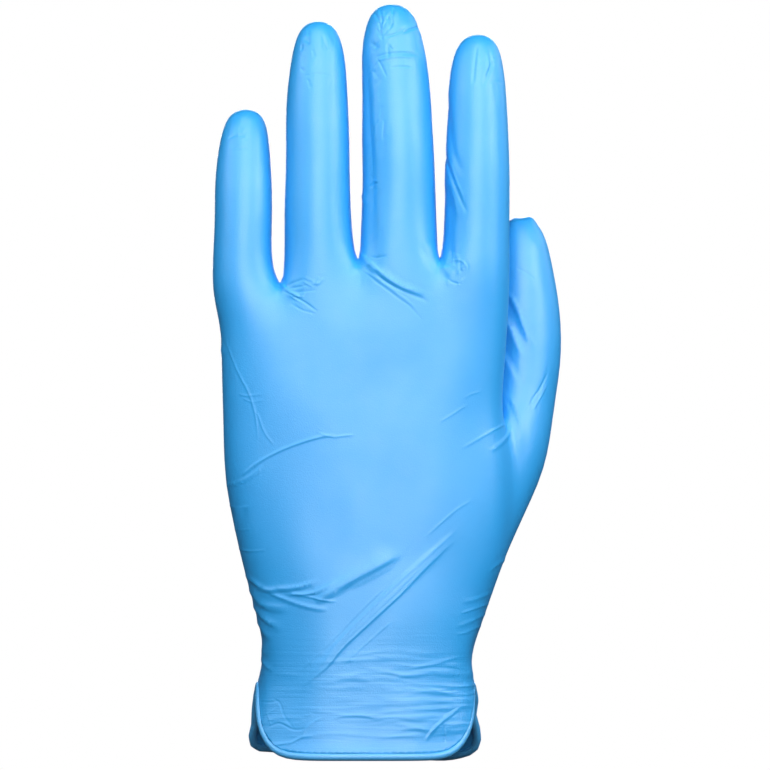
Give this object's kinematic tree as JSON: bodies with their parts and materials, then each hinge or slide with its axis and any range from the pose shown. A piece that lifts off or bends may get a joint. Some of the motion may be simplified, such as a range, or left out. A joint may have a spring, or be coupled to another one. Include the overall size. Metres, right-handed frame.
{
  "type": "nitrile exam glove",
  "caption": "Thin blue disposable exam glove worn on a left hand, with five hollow stalls and a rolled cuff, open at the wrist.",
  "frame": {"origin": "middle of the wrist opening, level with the lowest edge of the rolled rim", "axes": "+Z runs from the wrist opening to the fingertips, -Y is the back of the hand, +X is the thumb's side"},
  "size_m": [0.1093, 0.057, 0.2403],
  "materials": {
    "nitrile_film": "satin"
  },
  "bodies": {
    "root": {"glove": "nitrile_film"}
  },
  "joints": []
}
